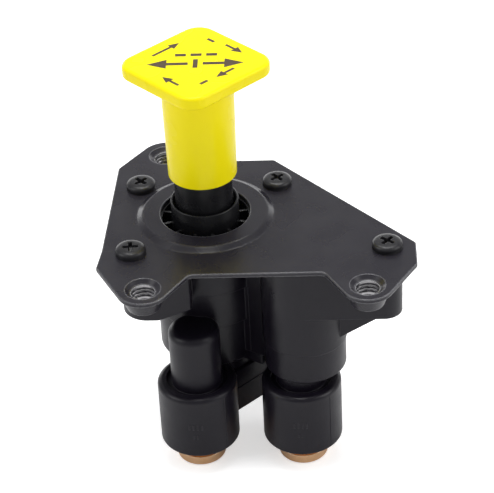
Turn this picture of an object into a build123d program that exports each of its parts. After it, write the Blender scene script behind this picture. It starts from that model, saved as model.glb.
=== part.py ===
from build123d import *
import math
import os

os.makedirs("parts", exist_ok=True)

# Push-pull dash control valve with a built-in double check valve.
# The origin is on the plunger's axis, at the mounting plate's top face.
# +Z points along the plunger to the driver, +X along the plate's front edge. Millimetres.
# The knob is out: pushing it in moves the plunger down.

# Clearances between pieces, and what the cutting solids need
SEAT_GAP = 0.1
RUNNING_GAP = 0.08
SEAL_GAP = 0.04
FIT_GAP = 0.05
THREAD_GAP = 0.02
GROOVE_CLEARANCE = 0.1
CUT_PAST = 1.0
ROOT = 0.3

# Mounting plate: pressed sheet with a raised ring and three drawn, tapped collars
PLATE_T = 1.5
RING_RISE = 1.3
RING_FOOT_R = 21.4
RING_CREST_R = 18.9
RING_BLEND_R = 1.0
GUIDE_HOLE_R = 13.8
FRONT_LEFT_HOLE = (-16.7, -38.4)
FRONT_RIGHT_HOLE = (48.7, -38.4)
BACK_LEFT_HOLE = (-14.3, 34.7)
LOBE_R = 7.7
BACK_LOBE_R = 8.1
PLATE_FRONT_Y = -31.8
PLATE_BACK_Y = 30.6
PLATE_RIGHT_X = 63.6
LEFT_BACK_X = -28.9
LEFT_FRONT_CORNER = (-30.4, -18.6)
LEFT_EAR_X = -31.4
DIAGONAL_BACK_X = 20.6
DIAGONAL_FRONT_Y = -17.2
PLATE_CORNER_R = 1.2
PLATE_INNER_CORNER_R = 2.5
TAPPED_R = 3.4
COLLAR_SINK_R = 5.4
COLLAR_SINK_DEPTH = 1.7
COLLAR_TOP_R = 6.5
COLLAR_END_R = 4.9
COLLAR_BOTTOM_Z = -6.3

# Plate screws
SCREW_PLACES = [(-20.8, 16.0), (21.8, 16.6), (-21.5, -20.0), (55.0, -19.4)]
SCREW_HEAD_R = 4.6
SCREW_HEAD_H = 2.7
SCREW_RIM_H = 1.2
SCREW_CROWN_R = 2.8
SCREW_SHANK_R = 2.2
SCREW_LENGTH = 12.0
SCREW_HOLE_R = 2.5

# Knob: square head on its corner, on a slightly tapered stem
KNOB_TOP_Z = 53.6
KNOB_SIDE = 34.2
KNOB_CORNER_R = 6.05
KNOB_HEAD_T = 4.1
KNOB_EDGE_R = 0.9
KNOB_TURN = 45
STEM_TOP_R = 10.9
STEM_END_R = 10.4
STEM_END_Z = 15.4
KNOB_SOCKET_DEPTH = 8.0
INSERT_R = 5.2
INSERT_LENGTH = 15.0

# Plunger, its stem and the valve disc that it carries
PLUNGER_R = 8.86
PLUNGER_END_Z = -12.6
PLUNGER_EDGE = 0.5
PLUNGER_SPIGOT_R = 3.0
SPIGOT_DROP = 1.0
SPRING_POCKET_R = 6.7
SPRING_POCKET_TOP_Z = 8.0
TRAVEL = 9.2
ROD_R = 2.5
ROD_COLLAR_R = 3.5
ROD_COLLAR_H = 1.2
ROD_THREAD_R = 2.0
ROD_TOP_Z = 16.0
DISC_R = 7.4
DISC_T = 3.2
WASHER_R = 3.9
WASHER_T = 1.0
NUT_R = 3.7
NUT_H = 3.0
ROD_STICK_OUT = 1.0

# Return spring, in the plunger's pocket and on the inlet seat
SPRING_COIL_R = 5.4
SPRING_WIRE_R = 0.55
SPRING_TURNS = 8

# Plunger guide, clamped under the plate's raised ring
GUIDE_FLANGE_R = 16.2
GUIDE_FLANGE_BOTTOM_Z = -3.6
GUIDE_BODY_R = 13.9
GUIDE_END_Z = -12.4
GUIDE_COLLAR_R = 10.4
GUIDE_COLLAR_TOP_Z = 6.05
GUIDE_COLLAR_EDGE = 0.35
GUIDE_MOUTH_R = 9.9
GUIDE_MOUTH_DEPTH = 1.5
GUIDE_RECESS_R = 13.3
GUIDE_RECESS_FLOOR_Z = -4.2
GUIDE_RIBS = 12
GUIDE_RIB_T = 0.9
GUIDE_RIB_DROP = 0.4
WIPER_Z = -5.8
WIPER_H = 1.4
WIPER_T = 1.3
WIPER_LIP = 0.5
PLUNGER_SEAL_Z = -10.2
PLUNGER_SEAL_SECTION_R = 0.85
GUIDE_SEAL_Z = -8.0
GUIDE_SEAL_SECTION_R = 0.9

# Inlet seat ring in the plunger bore
SEAT_TOP_Z = -22.5
SEAT_T = 3.2
SEAT_BORE_R = 4.6
SEAT_LIP_R = 5.8
SEAT_LIP_H = 0.6
SEAT_SEAL_SECTION_R = 0.75

# Body: flange and plunger housing
FLANGE_BOTTOM_Z = -18.0
FLANGE_DECK_T = 4.0
FLANGE_WALL = 2.8
FLANGE_FRONT_Y = -31.2
FLANGE_LEFT_LOBE_Y = -29.8
FLANGE_RIGHT_X = 59.3
FLANGE_RIGHT_BACK_Y = -16.5
FLANGE_DIAGONAL_X = 25.0
FLANGE_BACK_Y = 21.7
FLANGE_LEFT_BACK_X = -26.6
FLANGE_LEFT_FRONT_X = -24.5
FLANGE_LEFT_LOBE_END_X = -13.5
FLANGE_LEFT_LOBE_END_R = 4.0
FLANGE_HOOK = (-4.2, -24.4)
FLANGE_FRONT_LEFT_R = 7.8
FLANGE_FRONT_RIGHT_R = 5.5
FLANGE_CORNER_R = 5.5
FLANGE_HOOK_R = 1.0
SCREW_BOSS_R = 4.8
HOUSING_TOP_R = 18.0
HOUSING_MID_R = 17.3
HOUSING_LOW_TOP_Z = -30.6
HOUSING_LOW_R = 16.5
HOUSING_END_Z = -46.5
HOUSING_CAP_R = 14.0
HOUSING_CAP_Z = -54.5
HOUSING_EDGE = 1.0
SUPPLY_BORE_R = 11.5
DELIVERY_BORE_R = 10.0
DELIVERY_FLOOR_DROP = 0.8
EXHAUST_SEAT_R = 4.6
EXHAUST_LIP_R = 5.8
EXHAUST_BORE_FLOOR_Z = -50.4
EXHAUST_ROOM_R = 6.0
EXHAUST_ROOM_TOP_Z = -43.0
PASSAGE_R = 3.4
EXHAUST_PASSAGE_R = 3.1

# Body: check valve column and the double check valve in it
COLUMN = (29.7, -18.2)
COLUMN_R = 13.0
COLUMN_STEP_Z = -31.9
COLUMN_LOW_R = 12.6
COLUMN_END_Z = -42.8
COLUMN_EDGE = 0.8
COLUMN_WEB_T = 10.0
CHECK_BORE_R = 8.2
CAP_BORE_STEP = 0.5
CAP_FLANGE_R = 10.4
CAP_FLANGE_T = 2.0
CAP_END_Z = -12.0
CAP_GROOVE_TOP_Z = -6.0
CAP_GROOVE_BOTTOM_Z = -8.6
CAP_GROOVE_R = 6.3
CAP_BORE_R = 3.4
CAP_BORE_TOP_Z = -5.0
CAP_CROSS_HOLE_R = 1.1
CAP_CROSS_HOLES = 4
CAP_HOLE_ANGLE = 45
CAP_SEAL_SECTION_R = 0.6
CAP_UPPER_SEAL_Z = -4.9
CAP_LOWER_SEAL_Z = -10.0
CHECK_SEAT_R = 3.6
CHECK_LIP_R = 4.7
CHECK_LIP_H = 0.6
CHECK_FLOOR_Z = -23.0
SHUTTLE_R = 6.1
SHUTTLE_LENGTH = 3.4
SHUTTLE_WINGS = 4
SHUTTLE_WING_T = 1.6
SHUTTLE_WING_ANGLE = 22.5
SHUTTLE_FACE_R = 5.6
SHUTTLE_FACE_T = 1.2
FEED_Z = -16.6
FEED_R = 2.6
REAR_FEED_R = 2.2

# Ports: a square pattern, three with push-in tube fittings and one plain exhaust spigot
PORT_LEFT_X = -4.2
PORT_RIGHT_X = 28.2
PORT_FRONT_Y = -22.0
PORT_REAR_Y = 10.0
PORT_R = 12.35
PORT_TOP_Z = -45.8
PORT_END_Z = -67.8
PORT_SHOULDER_R = 1.6
PORT_EDGE_R = 0.6
NECK_R = 7.9
NECK_TOP_Z = -26.2
NECK_EDGE_R = 2.4
NECK_GROOVE_DEPTH = 0.8
NECK_GROOVE_W = 1.6
REAR_COLUMN_R = 7.5
REAR_WEB_T = 4.0
PORT_WEB_T = 5.0
PORT_WEB_RISE = 1.7
PORT_WEB_TOP_Z = -57.5
TUBE_R = 4.763
TUBE_CLEARANCE = 0.19
TUBE_STOP_Z = -49.5
GLAND_TOP_Z = -56.1
TUBE_SEAL_SECTION_R = 1.2
RETAINER_R = 8.5
RETAINER_TOP_Z = -58.7
RETAINER_STICK_OUT = 1.3
RETAINER_LIP_T = 0.7
RETAINER_LIP_GAP = 0.3
RETAINER_BORE_R = 6.3
RETAINER_CONE_R = 7.3
RETAINER_CONE_DROP = 3.5
RETAINER_CONE_H = 2.4
COLLET_TRAVEL = 1.2
COLLET_SLEEVE_R = 6.0
COLLET_HEAD_R = 6.9
COLLET_FLANGE_R = 7.7
COLLET_FLANGE_T = 3.2
COLLET_END_Z = -75.3
COLLET_TOP_GAP = 0.3
COLLET_SLOTS = 4
COLLET_SLOT_W = 1.0
COLLET_SLOT_ANGLE = 45
COLLET_SLOT_PAST_CONE = 3.0
COLLET_EDGE_R = 0.7
EXHAUST_SPIGOT_R = 7.0
EXHAUST_SPIGOT_END_Z = -57.5
EXHAUST_PORT_R = 4.5
GUSSET_Y = -24.0
GUSSET_T = 3.0
GUSSET_DROP = 11.0
GUSSET_SET_BACK = 1.0

# Places worked out from the values above
RING_OUTER_R = RING_FOOT_R + 2 * RING_BLEND_R
PILOT_HOLE_R = SCREW_SHANK_R + THREAD_GAP
GUIDE_ROOM_R = GUIDE_BODY_R + FIT_GAP
CAP_ROOM_R = CHECK_BORE_R + CAP_BORE_STEP
REAR_FEED_Z = 0.5 * (CAP_GROOVE_TOP_Z + CAP_GROOVE_BOTTOM_Z)
INSERT_BOTTOM_Z = STEM_END_Z + KNOB_SOCKET_DEPTH
INSERT_TOP_Z = INSERT_BOTTOM_Z + INSERT_LENGTH
PLUNGER_TOP_Z = INSERT_BOTTOM_Z - FIT_GAP
KNOB_HEAD_BOTTOM_Z = KNOB_TOP_Z - KNOB_HEAD_T
GUIDE_TOP_Z = RING_RISE - PLATE_T - FIT_GAP
GUIDE_BORE_R = PLUNGER_R + RUNNING_GAP
SEAL_BORE_R = PLUNGER_R + SEAL_GAP
BODY_TOP_Z = -PLATE_T - FIT_GAP
SEAT_BOTTOM_Z = SEAT_TOP_Z - SEAT_T
SEAT_SEAL_Z = SEAT_TOP_Z - 0.5 * SEAT_T
DISC_TOP_Z = SEAT_BOTTOM_Z - SEAT_LIP_H - SEAT_GAP
DISC_BOTTOM_Z = DISC_TOP_Z - DISC_T
WASHER_BOTTOM_Z = DISC_BOTTOM_Z - WASHER_T
NUT_BOTTOM_Z = WASHER_BOTTOM_Z - NUT_H
EXHAUST_SEAT_Z = DISC_BOTTOM_Z - TRAVEL - SEAT_GAP
DELIVERY_FLOOR_Z = EXHAUST_SEAT_Z - DELIVERY_FLOOR_DROP
DELIVERY_PASSAGE_Z = 0.5 * (SEAT_BOTTOM_Z + DELIVERY_FLOOR_Z)
CHECK_SEAT_Z = CHECK_FLOOR_Z + CHECK_LIP_H
SHUTTLE_BOTTOM_Z = CHECK_SEAT_Z + SEAT_GAP
SHUTTLE_TOP_Z = SHUTTLE_BOTTOM_Z + SHUTTLE_LENGTH + 2 * SHUTTLE_FACE_T
TUBE_BORE_R = TUBE_R + TUBE_CLEARANCE
TUBE_SEAL_R = TUBE_BORE_R - FIT_GAP + TUBE_SEAL_SECTION_R
GLAND_R = TUBE_SEAL_R + TUBE_SEAL_SECTION_R + FIT_GAP
RETAINER_BOTTOM_Z = PORT_END_Z - RETAINER_STICK_OUT
RETAINER_CONE_TOP_Z = RETAINER_TOP_Z - RETAINER_CONE_DROP
RETAINER_CONE_BOTTOM_Z = RETAINER_CONE_TOP_Z - RETAINER_CONE_H
COLLET_TOP_Z = RETAINER_TOP_Z - RETAINER_LIP_T - COLLET_TRAVEL - COLLET_TOP_GAP
TUBE_PORTS = {
    "delivery": (PORT_LEFT_X, PORT_FRONT_Y),
    "front_supply": (PORT_RIGHT_X, PORT_FRONT_Y),
    "rear_supply": (PORT_RIGHT_X, PORT_REAR_Y),
}
EXHAUST_PLACE = (PORT_LEFT_X, PORT_REAR_Y)


STANDING = (Align.CENTER, Align.CENTER, Align.MIN)


def rod(radius, bottom, top, place=(0, 0)):
    """A round bar along Z between two heights."""
    return Pos(place[0], place[1], bottom) * Cylinder(radius, top - bottom, align=STANDING)


def tube(outer, inner, bottom, top, place=(0, 0)):
    """A round bar with a hole through it."""
    return rod(outer, bottom, top, place) - rod(inner, bottom - CUT_PAST, top + CUT_PAST, place)


def turned(points, place=(0, 0)):
    """A solid of revolution from radius and height pairs."""
    profile = Plane.XZ * make_face(Polyline(*points, close=True))
    return Pos(place[0], place[1], 0) * revolve(profile, Axis.Z)


def ring_seal(mean_radius, section_radius, height, place=(0, 0)):
    """A rubber ring of round section."""
    return Pos(place[0], place[1], height) * Torus(mean_radius, section_radius)


def drilling(start, end, radius):
    """A straight round passage between two points at one height."""
    run = Vector(*end) - Vector(*start)
    return Solid.make_cylinder(radius, run.length, Plane(origin=start, z_dir=run))


def wall_between(start, end, thickness, bottom, top):
    """A flat upright web between two places in plan."""
    run_x = end[0] - start[0]
    run_y = end[1] - start[1]
    web = Box(math.hypot(run_x, run_y), thickness, top - bottom, align=(Align.MIN, Align.CENTER, Align.MIN))
    return Pos(start[0], start[1], bottom) * Rot(0, 0, math.degrees(math.atan2(run_y, run_x))) * web


def rounded_face(corners):
    """A face in plan from corners given as x, y and corner radius."""
    face = make_face(Polyline(*[(x, y) for x, y, r in corners], close=True))
    for x, y, radius in corners:
        if radius > 0:
            vertex = face.vertices().sort_by_distance((x, y, 0))[0]
            face = fillet(vertex, radius)
    return face


# Mounting plate

def edge_normal(degrees):
    return (math.cos(math.radians(degrees)), math.sin(math.radians(degrees)))


def lobe_corner(lobe, first_degrees, second_degrees):
    """Where two edges meet that both touch the circle of a lobe, given as x, y and radius."""
    x, y, radius = lobe
    ax, ay = edge_normal(first_degrees)
    bx, by = edge_normal(second_degrees)
    reach = radius / (1 + ax * bx + ay * by)
    return (x + reach * (ax + bx), y + reach * (ay + by), radius)


def lobe_edge_at_y(lobe, degrees, y, corner_r):
    nx, ny = edge_normal(degrees)
    return (lobe[0] + (lobe[2] - ny * (y - lobe[1])) / nx, y, corner_r)


def lobe_edge_at_x(lobe, degrees, x, corner_r):
    nx, ny = edge_normal(degrees)
    return (x, lobe[1] + (lobe[2] - nx * (x - lobe[0])) / ny, corner_r)


FRONT_LEFT_EDGES = (208.2, -31.9)
FRONT_RIGHT_EDGES = (209.5, -30.2)
BACK_LEFT_EDGES = (146.2, 32.0)


def plate_outline():
    """The plate in plan: a lobe round each tapped hole, and a long diagonal at the back right."""
    front_left = (*FRONT_LEFT_HOLE, LOBE_R)
    front_right = (*FRONT_RIGHT_HOLE, LOBE_R)
    back_left = (*BACK_LEFT_HOLE, BACK_LOBE_R)
    return rounded_face([
        lobe_corner(front_left, *FRONT_LEFT_EDGES),
        lobe_edge_at_y(front_left, FRONT_LEFT_EDGES[1], PLATE_FRONT_Y, PLATE_INNER_CORNER_R),
        lobe_edge_at_y(front_right, FRONT_RIGHT_EDGES[0], PLATE_FRONT_Y, PLATE_INNER_CORNER_R),
        lobe_corner(front_right, *FRONT_RIGHT_EDGES),
        lobe_edge_at_x(front_right, FRONT_RIGHT_EDGES[1], PLATE_RIGHT_X, PLATE_CORNER_R),
        (PLATE_RIGHT_X, DIAGONAL_FRONT_Y, PLATE_CORNER_R),
        (DIAGONAL_BACK_X, PLATE_BACK_Y, PLATE_CORNER_R),
        lobe_edge_at_y(back_left, BACK_LEFT_EDGES[1], PLATE_BACK_Y, PLATE_INNER_CORNER_R),
        lobe_corner(back_left, *BACK_LEFT_EDGES),
        lobe_edge_at_x(back_left, BACK_LEFT_EDGES[0], LEFT_BACK_X, PLATE_CORNER_R),
        (LEFT_FRONT_CORNER[0], LEFT_FRONT_CORNER[1], PLATE_CORNER_R),
        lobe_edge_at_x(front_left, FRONT_LEFT_EDGES[0], LEFT_EAR_X, PLATE_CORNER_R),
    ])


def raised_ring():
    """The pressed ring round the plunger: a sheet of even thickness that steps up."""
    top = [(GUIDE_HOLE_R, RING_RISE), (RING_CREST_R, RING_RISE), (RING_FOOT_R, 0), (RING_OUTER_R, 0)]
    under = [(r, z - PLATE_T) for r, z in reversed(top)]
    face = make_face(Polyline(*(top + under), close=True))
    for r, z in top[1:3] + under[1:3]:
        vertex = face.vertices().sort_by_distance((r, z, 0))[0]
        face = fillet(vertex, RING_BLEND_R)
    return revolve(Plane.XZ * face, Axis.Z)


def drawn_collar(hole):
    """The conical collar that the press draws down round a tapped hole."""
    return turned([
        (0, -0.5 * PLATE_T),
        (COLLAR_TOP_R, -0.5 * PLATE_T),
        (COLLAR_TOP_R, -PLATE_T),
        (COLLAR_END_R, COLLAR_BOTTOM_Z),
        (0, COLLAR_BOTTOM_Z),
    ], hole)


def collar_hole(hole):
    return turned([
        (0, CUT_PAST),
        (COLLAR_SINK_R, CUT_PAST),
        (COLLAR_SINK_R, 0),
        (TAPPED_R, -COLLAR_SINK_DEPTH),
        (TAPPED_R, COLLAR_BOTTOM_Z - CUT_PAST),
        (0, COLLAR_BOTTOM_Z - CUT_PAST),
    ], hole)


def mounting_plate():
    plate = extrude(plate_outline(), amount=-PLATE_T)
    plate -= rod(RING_OUTER_R, -PLATE_T - CUT_PAST, CUT_PAST)
    plate += raised_ring()
    for hole in (FRONT_LEFT_HOLE, FRONT_RIGHT_HOLE, BACK_LEFT_HOLE):
        plate += drawn_collar(hole)
        plate -= collar_hole(hole)
    for place in SCREW_PLACES:
        plate -= rod(SCREW_HOLE_R, -PLATE_T - CUT_PAST, RING_RISE + CUT_PAST, place)
    return plate


def plate_screw(place):
    """Pan-head screw, its head on the plate and its shank in the body's boss."""
    shoulder_r = 0.7 * SCREW_HEAD_R + 0.3 * SCREW_CROWN_R
    shoulder_z = 0.7 * SCREW_HEAD_H + 0.3 * SCREW_RIM_H
    head = turned([
        (0, 0),
        (SCREW_HEAD_R, 0),
        (SCREW_HEAD_R, SCREW_RIM_H),
        (shoulder_r, shoulder_z),
        (SCREW_CROWN_R, SCREW_HEAD_H),
        (0, SCREW_HEAD_H),
    ], place)
    return head + rod(SCREW_SHANK_R, -SCREW_LENGTH, 0, place)


# Knob and plunger

def knob():
    square = RectangleRounded(KNOB_SIDE, KNOB_SIDE, KNOB_CORNER_R)
    head = extrude(Pos(0, 0, KNOB_HEAD_BOTTOM_Z) * Rot(0, 0, KNOB_TURN) * square, amount=KNOB_HEAD_T)
    head = fillet(head.edges().group_by(Axis.Z)[-1] + head.edges().group_by(Axis.Z)[0], KNOB_EDGE_R)
    stem_top = KNOB_HEAD_BOTTOM_Z + KNOB_EDGE_R
    stem = turned([(0, STEM_END_Z), (STEM_END_R, STEM_END_Z), (STEM_TOP_R, stem_top), (0, stem_top)])
    body = head + stem
    body -= rod(PLUNGER_R + FIT_GAP, STEM_END_Z - CUT_PAST, INSERT_BOTTOM_Z)
    return body - rod(INSERT_R, INSERT_BOTTOM_Z - CUT_PAST, INSERT_TOP_Z)


def knob_insert():
    return tube(INSERT_R - FIT_GAP, PLUNGER_SPIGOT_R + FIT_GAP, INSERT_BOTTOM_Z, INSERT_TOP_Z - FIT_GAP)


def plunger():
    body = rod(PLUNGER_R, PLUNGER_END_Z, PLUNGER_TOP_Z)
    body = chamfer(body.edges().group_by(Axis.Z)[0], PLUNGER_EDGE)
    body += rod(PLUNGER_SPIGOT_R, PLUNGER_TOP_Z - ROOT, INSERT_TOP_Z - SPIGOT_DROP)
    body -= rod(SPRING_POCKET_R, PLUNGER_END_Z - CUT_PAST, SPRING_POCKET_TOP_Z)
    return body - rod(ROD_R + FIT_GAP, SPRING_POCKET_TOP_Z - CUT_PAST, ROD_TOP_Z + FIT_GAP)


def plunger_stem():
    body = rod(ROD_R, DISC_TOP_Z, ROD_TOP_Z)
    body += rod(ROD_COLLAR_R, DISC_TOP_Z, DISC_TOP_Z + ROD_COLLAR_H)
    return body + rod(ROD_THREAD_R, NUT_BOTTOM_Z - ROD_STICK_OUT, DISC_TOP_Z + ROOT)


def valve_disc():
    return tube(DISC_R, ROD_THREAD_R + FIT_GAP, DISC_BOTTOM_Z, DISC_TOP_Z)


def disc_washer():
    return tube(WASHER_R, ROD_THREAD_R + FIT_GAP, WASHER_BOTTOM_Z, DISC_BOTTOM_Z)


def disc_nut():
    prism = extrude(Pos(0, 0, NUT_BOTTOM_Z) * RegularPolygon(NUT_R, 6), amount=NUT_H)
    return prism - rod(ROD_THREAD_R + FIT_GAP, NUT_BOTTOM_Z - CUT_PAST, WASHER_BOTTOM_Z + CUT_PAST)


def return_spring():
    """Round wire coil from the inlet seat up to the end of the plunger's pocket."""
    bottom = SEAT_TOP_Z + SPRING_WIRE_R + FIT_GAP
    top = SPRING_POCKET_TOP_Z - SPRING_WIRE_R - FIT_GAP
    height = top - bottom
    path = Helix(height / SPRING_TURNS, height, SPRING_COIL_R)
    section = Plane(origin=path @ 0, z_dir=path % 0) * Circle(SPRING_WIRE_R)
    return Pos(0, 0, bottom) * sweep(section, path, is_frenet=True)


# Plunger guide and its seals

def seal_groove(inner, outer, height, section_radius):
    """A cutting ring for a seal's groove, with room above and below the seal."""
    half = section_radius + GROOVE_CLEARANCE
    return tube(outer, inner, height - half, height + half)


def guide_rib():
    """One rib of the recess round the guide's collar."""
    run = GUIDE_RECESS_R - GUIDE_COLLAR_R + 2 * ROOT
    middle = 0.5 * (GUIDE_RECESS_R + GUIDE_COLLAR_R)
    bottom = GUIDE_RECESS_FLOOR_Z - ROOT
    height = GUIDE_TOP_Z - GUIDE_RIB_DROP - bottom
    return Pos(middle, 0, bottom) * Box(run, GUIDE_RIB_T, height, align=STANDING)


def plunger_guide():
    body = turned([
        (GUIDE_BORE_R, GUIDE_END_Z),
        (GUIDE_BODY_R, GUIDE_END_Z),
        (GUIDE_BODY_R, GUIDE_FLANGE_BOTTOM_Z),
        (GUIDE_FLANGE_R, GUIDE_FLANGE_BOTTOM_Z),
        (GUIDE_FLANGE_R, GUIDE_TOP_Z),
        (GUIDE_RECESS_R, GUIDE_TOP_Z),
        (GUIDE_RECESS_R, GUIDE_RECESS_FLOOR_Z),
        (GUIDE_COLLAR_R, GUIDE_RECESS_FLOOR_Z),
        (GUIDE_COLLAR_R, GUIDE_COLLAR_TOP_Z - GUIDE_COLLAR_EDGE),
        (GUIDE_COLLAR_R - GUIDE_COLLAR_EDGE, GUIDE_COLLAR_TOP_Z),
        (GUIDE_MOUTH_R, GUIDE_COLLAR_TOP_Z),
        (GUIDE_BORE_R, GUIDE_COLLAR_TOP_Z - GUIDE_MOUTH_DEPTH),
    ])
    for index in range(GUIDE_RIBS):
        body += Rot(0, 0, (index + 0.5) * 360 / GUIDE_RIBS) * guide_rib()
    inside = GUIDE_BORE_R - CUT_PAST
    wiper_outer = SEAL_BORE_R + WIPER_T + GROOVE_CLEARANCE
    body -= seal_groove(inside, wiper_outer, WIPER_Z, 0.5 * WIPER_H)
    seal_outer = SEAL_BORE_R + 2 * PLUNGER_SEAL_SECTION_R + GROOVE_CLEARANCE
    body -= seal_groove(inside, seal_outer, PLUNGER_SEAL_Z, PLUNGER_SEAL_SECTION_R)
    guide_groove_r = GUIDE_BODY_R - 2 * GUIDE_SEAL_SECTION_R - GROOVE_CLEARANCE
    return body - seal_groove(guide_groove_r, GUIDE_BODY_R + CUT_PAST, GUIDE_SEAL_Z, GUIDE_SEAL_SECTION_R)


def wiper_seal():
    """Rubber wiper ring with a slanted lip on the plunger."""
    half = 0.5 * WIPER_H
    return turned([
        (SEAL_BORE_R, WIPER_Z + half),
        (SEAL_BORE_R + WIPER_LIP, WIPER_Z - half),
        (SEAL_BORE_R + WIPER_T, WIPER_Z - half),
        (SEAL_BORE_R + WIPER_T, WIPER_Z + half),
    ])


def plunger_seal():
    return ring_seal(SEAL_BORE_R + PLUNGER_SEAL_SECTION_R, PLUNGER_SEAL_SECTION_R, PLUNGER_SEAL_Z)


def guide_seal():
    return ring_seal(GUIDE_BODY_R - GUIDE_SEAL_SECTION_R, GUIDE_SEAL_SECTION_R, GUIDE_SEAL_Z)


# Inlet seat

def inlet_seat():
    body = tube(SUPPLY_BORE_R - FIT_GAP, SEAT_BORE_R, SEAT_BOTTOM_Z, SEAT_TOP_Z)
    body += tube(SEAT_LIP_R, SEAT_BORE_R, SEAT_BOTTOM_Z - SEAT_LIP_H, SEAT_BOTTOM_Z)
    groove_r = SUPPLY_BORE_R - FIT_GAP - 2 * SEAT_SEAL_SECTION_R - GROOVE_CLEARANCE
    return body - seal_groove(groove_r, SUPPLY_BORE_R + CUT_PAST, SEAT_SEAL_Z, SEAT_SEAL_SECTION_R)


def inlet_seat_seal():
    return ring_seal(SUPPLY_BORE_R - FIT_GAP - SEAT_SEAL_SECTION_R, SEAT_SEAL_SECTION_R, SEAT_SEAL_Z)


# Double check valve

def check_cap():
    """Plug under the plate: lets the rear supply in at its waist and holds the upper seat."""
    radius = CAP_ROOM_R - FIT_GAP
    lip_bottom = CAP_END_Z - CHECK_LIP_H
    body = rod(radius, CAP_END_Z, BODY_TOP_Z, COLUMN)
    body += rod(CAP_FLANGE_R, BODY_TOP_Z - CAP_FLANGE_T, BODY_TOP_Z, COLUMN)
    body += rod(CHECK_LIP_R, lip_bottom, CAP_END_Z + ROOT, COLUMN)
    body -= rod(CAP_BORE_R, lip_bottom - CUT_PAST, CAP_BORE_TOP_Z, COLUMN)
    body -= tube(CAP_FLANGE_R, CAP_GROOVE_R, CAP_GROOVE_BOTTOM_Z, CAP_GROOVE_TOP_Z, COLUMN)
    for index in range(CAP_CROSS_HOLES):
        angle = math.radians(CAP_HOLE_ANGLE + index * 360 / CAP_CROSS_HOLES)
        start = (COLUMN[0], COLUMN[1], REAR_FEED_Z)
        end = (COLUMN[0] + radius * math.cos(angle), COLUMN[1] + radius * math.sin(angle), REAR_FEED_Z)
        body -= drilling(start, end, CAP_CROSS_HOLE_R)
    groove_r = radius - 2 * CAP_SEAL_SECTION_R - GROOVE_CLEARANCE
    for height in (CAP_UPPER_SEAL_Z, CAP_LOWER_SEAL_Z):
        groove = seal_groove(groove_r, radius + CUT_PAST, height, CAP_SEAL_SECTION_R)
        body -= Pos(COLUMN[0], COLUMN[1], 0) * groove
    return body


def check_cap_seals():
    radius = CAP_ROOM_R - FIT_GAP - CAP_SEAL_SECTION_R
    heights = (CAP_UPPER_SEAL_Z, CAP_LOWER_SEAL_Z)
    return Compound(children=[ring_seal(radius, CAP_SEAL_SECTION_R, z, COLUMN) for z in heights])


def check_shuttle():
    """Piston with guide wings that closes whichever supply is the weaker."""
    bottom = SHUTTLE_BOTTOM_Z + SHUTTLE_FACE_T
    top = bottom + SHUTTLE_LENGTH
    wing_r = CHECK_BORE_R - RUNNING_GAP
    body = rod(SHUTTLE_R, bottom, top)
    wing = Pos(0, 0, bottom) * Box(2 * wing_r, SHUTTLE_WING_T, SHUTTLE_LENGTH, align=STANDING)
    for index in range(SHUTTLE_WINGS // 2):
        body += Rot(0, 0, SHUTTLE_WING_ANGLE + index * 360 / SHUTTLE_WINGS) * wing
    body &= rod(wing_r, bottom - CUT_PAST, top + CUT_PAST)
    return Pos(COLUMN[0], COLUMN[1], 0) * body


def shuttle_faces():
    low = rod(SHUTTLE_FACE_R, SHUTTLE_BOTTOM_Z, SHUTTLE_BOTTOM_Z + SHUTTLE_FACE_T, COLUMN)
    high = rod(SHUTTLE_FACE_R, SHUTTLE_TOP_Z - SHUTTLE_FACE_T, SHUTTLE_TOP_Z, COLUMN)
    return Compound(children=[low, high])


# Push-in tube fittings

def tube_seal(place):
    return ring_seal(TUBE_SEAL_R, TUBE_SEAL_SECTION_R, GLAND_TOP_Z - TUBE_SEAL_SECTION_R - FIT_GAP, place)


def collet_retainer(place):
    """Brass sleeve in the port whose cone closes the collet's fingers on the tube."""
    lip_r = TUBE_BORE_R + RETAINER_LIP_GAP
    return turned([
        (lip_r, RETAINER_TOP_Z),
        (RETAINER_R - FIT_GAP, RETAINER_TOP_Z),
        (RETAINER_R - FIT_GAP, RETAINER_BOTTOM_Z),
        (RETAINER_BORE_R, RETAINER_BOTTOM_Z),
        (RETAINER_BORE_R, RETAINER_CONE_BOTTOM_Z),
        (RETAINER_CONE_R, RETAINER_CONE_TOP_Z),
        (RETAINER_CONE_R, RETAINER_TOP_Z - RETAINER_LIP_T),
        (lip_r, RETAINER_TOP_Z - RETAINER_LIP_T),
    ], place)


def collet(place):
    """Slotted brass collet: pressing its flange up lets the tube go."""
    cone_gap = RETAINER_CONE_R - COLLET_HEAD_R
    flange_top = COLLET_END_Z + COLLET_FLANGE_T
    body = turned([
        (TUBE_BORE_R, COLLET_TOP_Z),
        (COLLET_HEAD_R, COLLET_TOP_Z),
        (COLLET_HEAD_R, RETAINER_CONE_TOP_Z + cone_gap),
        (COLLET_SLEEVE_R, RETAINER_CONE_BOTTOM_Z + cone_gap),
        (COLLET_SLEEVE_R, flange_top),
        (COLLET_FLANGE_R, flange_top),
        (COLLET_FLANGE_R, COLLET_END_Z),
        (TUBE_BORE_R, COLLET_END_Z),
    ])
    body = fillet(body.edges().group_by(Axis.Z)[0], COLLET_EDGE_R)
    slot_bottom = RETAINER_CONE_BOTTOM_Z - COLLET_SLOT_PAST_CONE
    slot_height = COLLET_TOP_Z - slot_bottom + CUT_PAST
    slot = Pos(0, 0, slot_bottom) * Box(4 * COLLET_HEAD_R, COLLET_SLOT_W, slot_height, align=STANDING)
    for index in range(COLLET_SLOTS // 2):
        body -= Rot(0, 0, COLLET_SLOT_ANGLE + index * 360 / COLLET_SLOTS) * slot
    return Pos(place[0], place[1], 0) * body


# Valve body

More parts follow.
